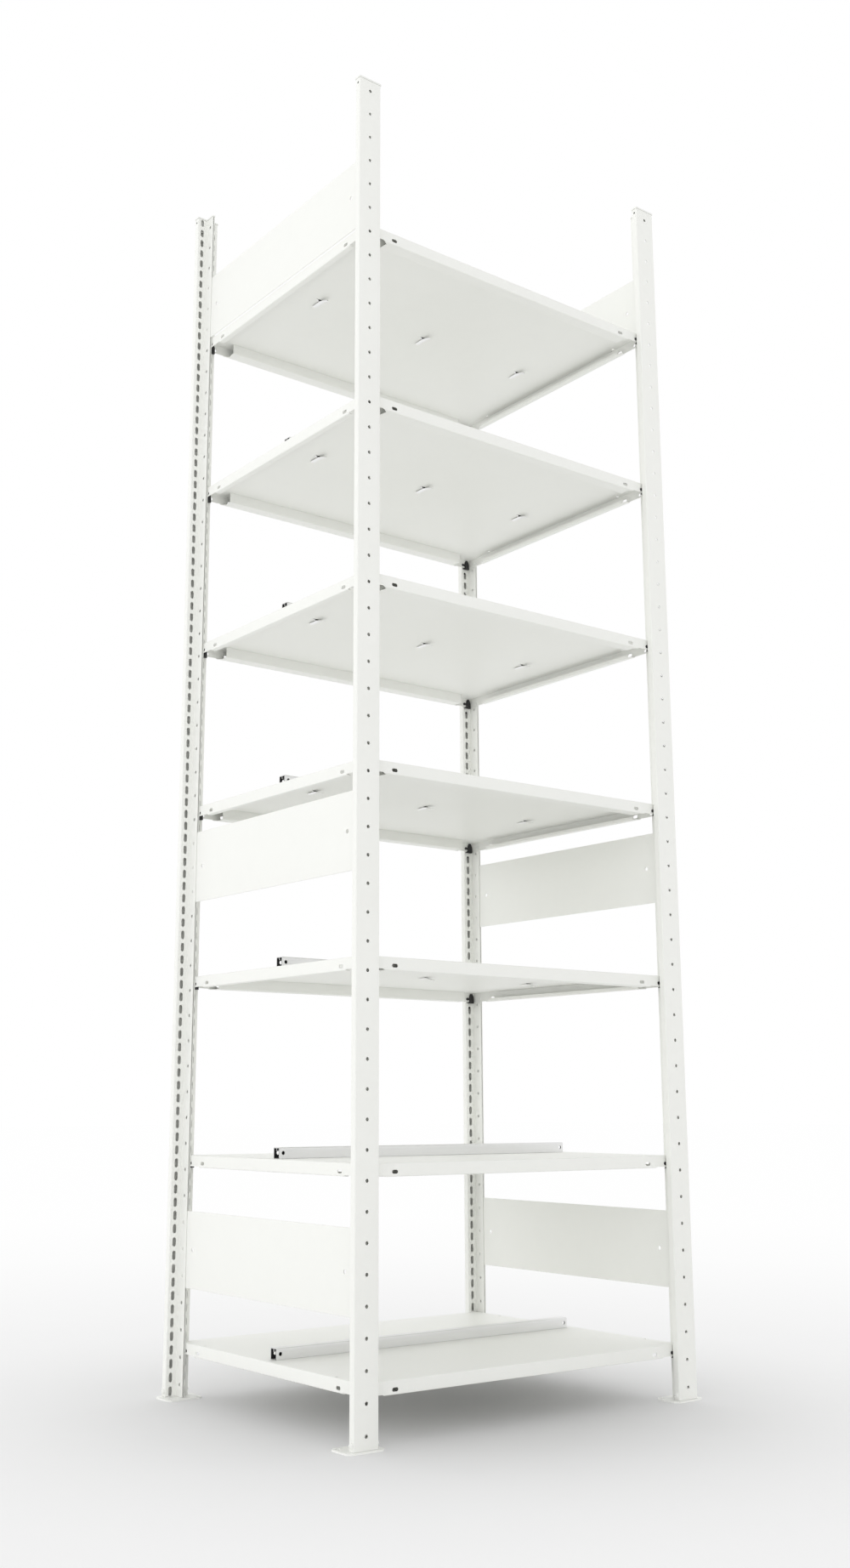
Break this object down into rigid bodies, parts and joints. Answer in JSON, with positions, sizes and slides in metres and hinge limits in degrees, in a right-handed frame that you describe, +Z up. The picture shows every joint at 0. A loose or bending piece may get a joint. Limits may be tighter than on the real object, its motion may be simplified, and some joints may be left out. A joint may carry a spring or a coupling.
{
  "type": "office shelving unit",
  "caption": "Tall free-standing steel shelving unit: perforated T-section uprights, folded tray shelves on clips, low stop bars and side panels.",
  "frame": {"origin": "on the floor, at the middle of the footprint", "axes": "+Z up; X across the open front, +X to the right seen from the front; the open front faces -Y"},
  "size_m": [0.8324, 0.6432, 2.5],
  "materials": {
    "upright_white": "smooth white powder coat, satin",
    "shelf_white": "smooth white powder coat, satin",
    "panel_white": "smooth white powder coat, satin",
    "foot_white": "white powder coat, satin",
    "cap_white": "moulded, matt white",
    "bar_silver": "satin silver",
    "clip_black": "moulded, matt black"
  },
  "bodies": {
    "root": {"upright_front_left": "upright_white", "upright_front_right": "upright_white", "upright_rear_left": "upright_white", "upright_rear_right": "upright_white", "foot_front_left": "foot_white", "foot_front_right": "foot_white", "foot_rear_left": "foot_white", "foot_rear_right": "foot_white", "cap_front_left": "cap_white", "cap_front_right": "cap_white", "cap_rear_left": "cap_white", "cap_rear_right": "cap_white", "side_panel_left_bottom": "panel_white", "side_panel_left_middle": "panel_white", "side_panel_left_top": "panel_white", "side_panel_right_bottom": "panel_white", "side_panel_right_middle": "panel_white", "side_panel_right_top": "panel_white", "shelf_1": "shelf_white", "shelf_2": "shelf_white", "shelf_3": "shelf_white", "shelf_4": "shelf_white", "shelf_5": "shelf_white", "shelf_6": "shelf_white", "shelf_7": "shelf_white", "stop_bar_1": "bar_silver", "stop_bar_2": "bar_silver", "stop_bar_3": "bar_silver", "stop_bar_4": "bar_silver", "stop_bar_5": "bar_silver", "stop_bar_6": "bar_silver", "stop_bar_7": "bar_silver", "shelf_clip_1_front_left": "clip_black", "shelf_clip_1_front_right": "clip_black", "shelf_clip_1_rear_left": "clip_black", "shelf_clip_1_rear_right": "clip_black", "shelf_clip_2_front_left": "clip_black", "shelf_clip_2_front_right": "clip_black", "shelf_clip_2_rear_left": "clip_black", "shelf_clip_2_rear_right": "clip_black", "shelf_clip_3_front_left": "clip_black", "shelf_clip_3_front_right": "clip_black", "shelf_clip_3_rear_left": "clip_black", "shelf_clip_3_rear_right": "clip_black", "shelf_clip_4_front_left": "clip_black", "shelf_clip_4_front_right": "clip_black", "shelf_clip_4_rear_left": "clip_black", "shelf_clip_4_rear_right": "clip_black", "shelf_clip_5_front_left": "clip_black", "shelf_clip_5_front_right": "clip_black", "shelf_clip_5_rear_left": "clip_black", "shelf_clip_5_rear_right": "clip_black", "shelf_clip_6_front_left": "clip_black", "shelf_clip_6_front_right": "clip_black", "shelf_clip_6_rear_left": "clip_black", "shelf_clip_6_rear_right": "clip_black", "shelf_clip_7_front_left": "clip_black", "shelf_clip_7_front_right": "clip_black", "shelf_clip_7_rear_left": "clip_black", "shelf_clip_7_rear_right": "clip_black"}
  },
  "joints": []
}
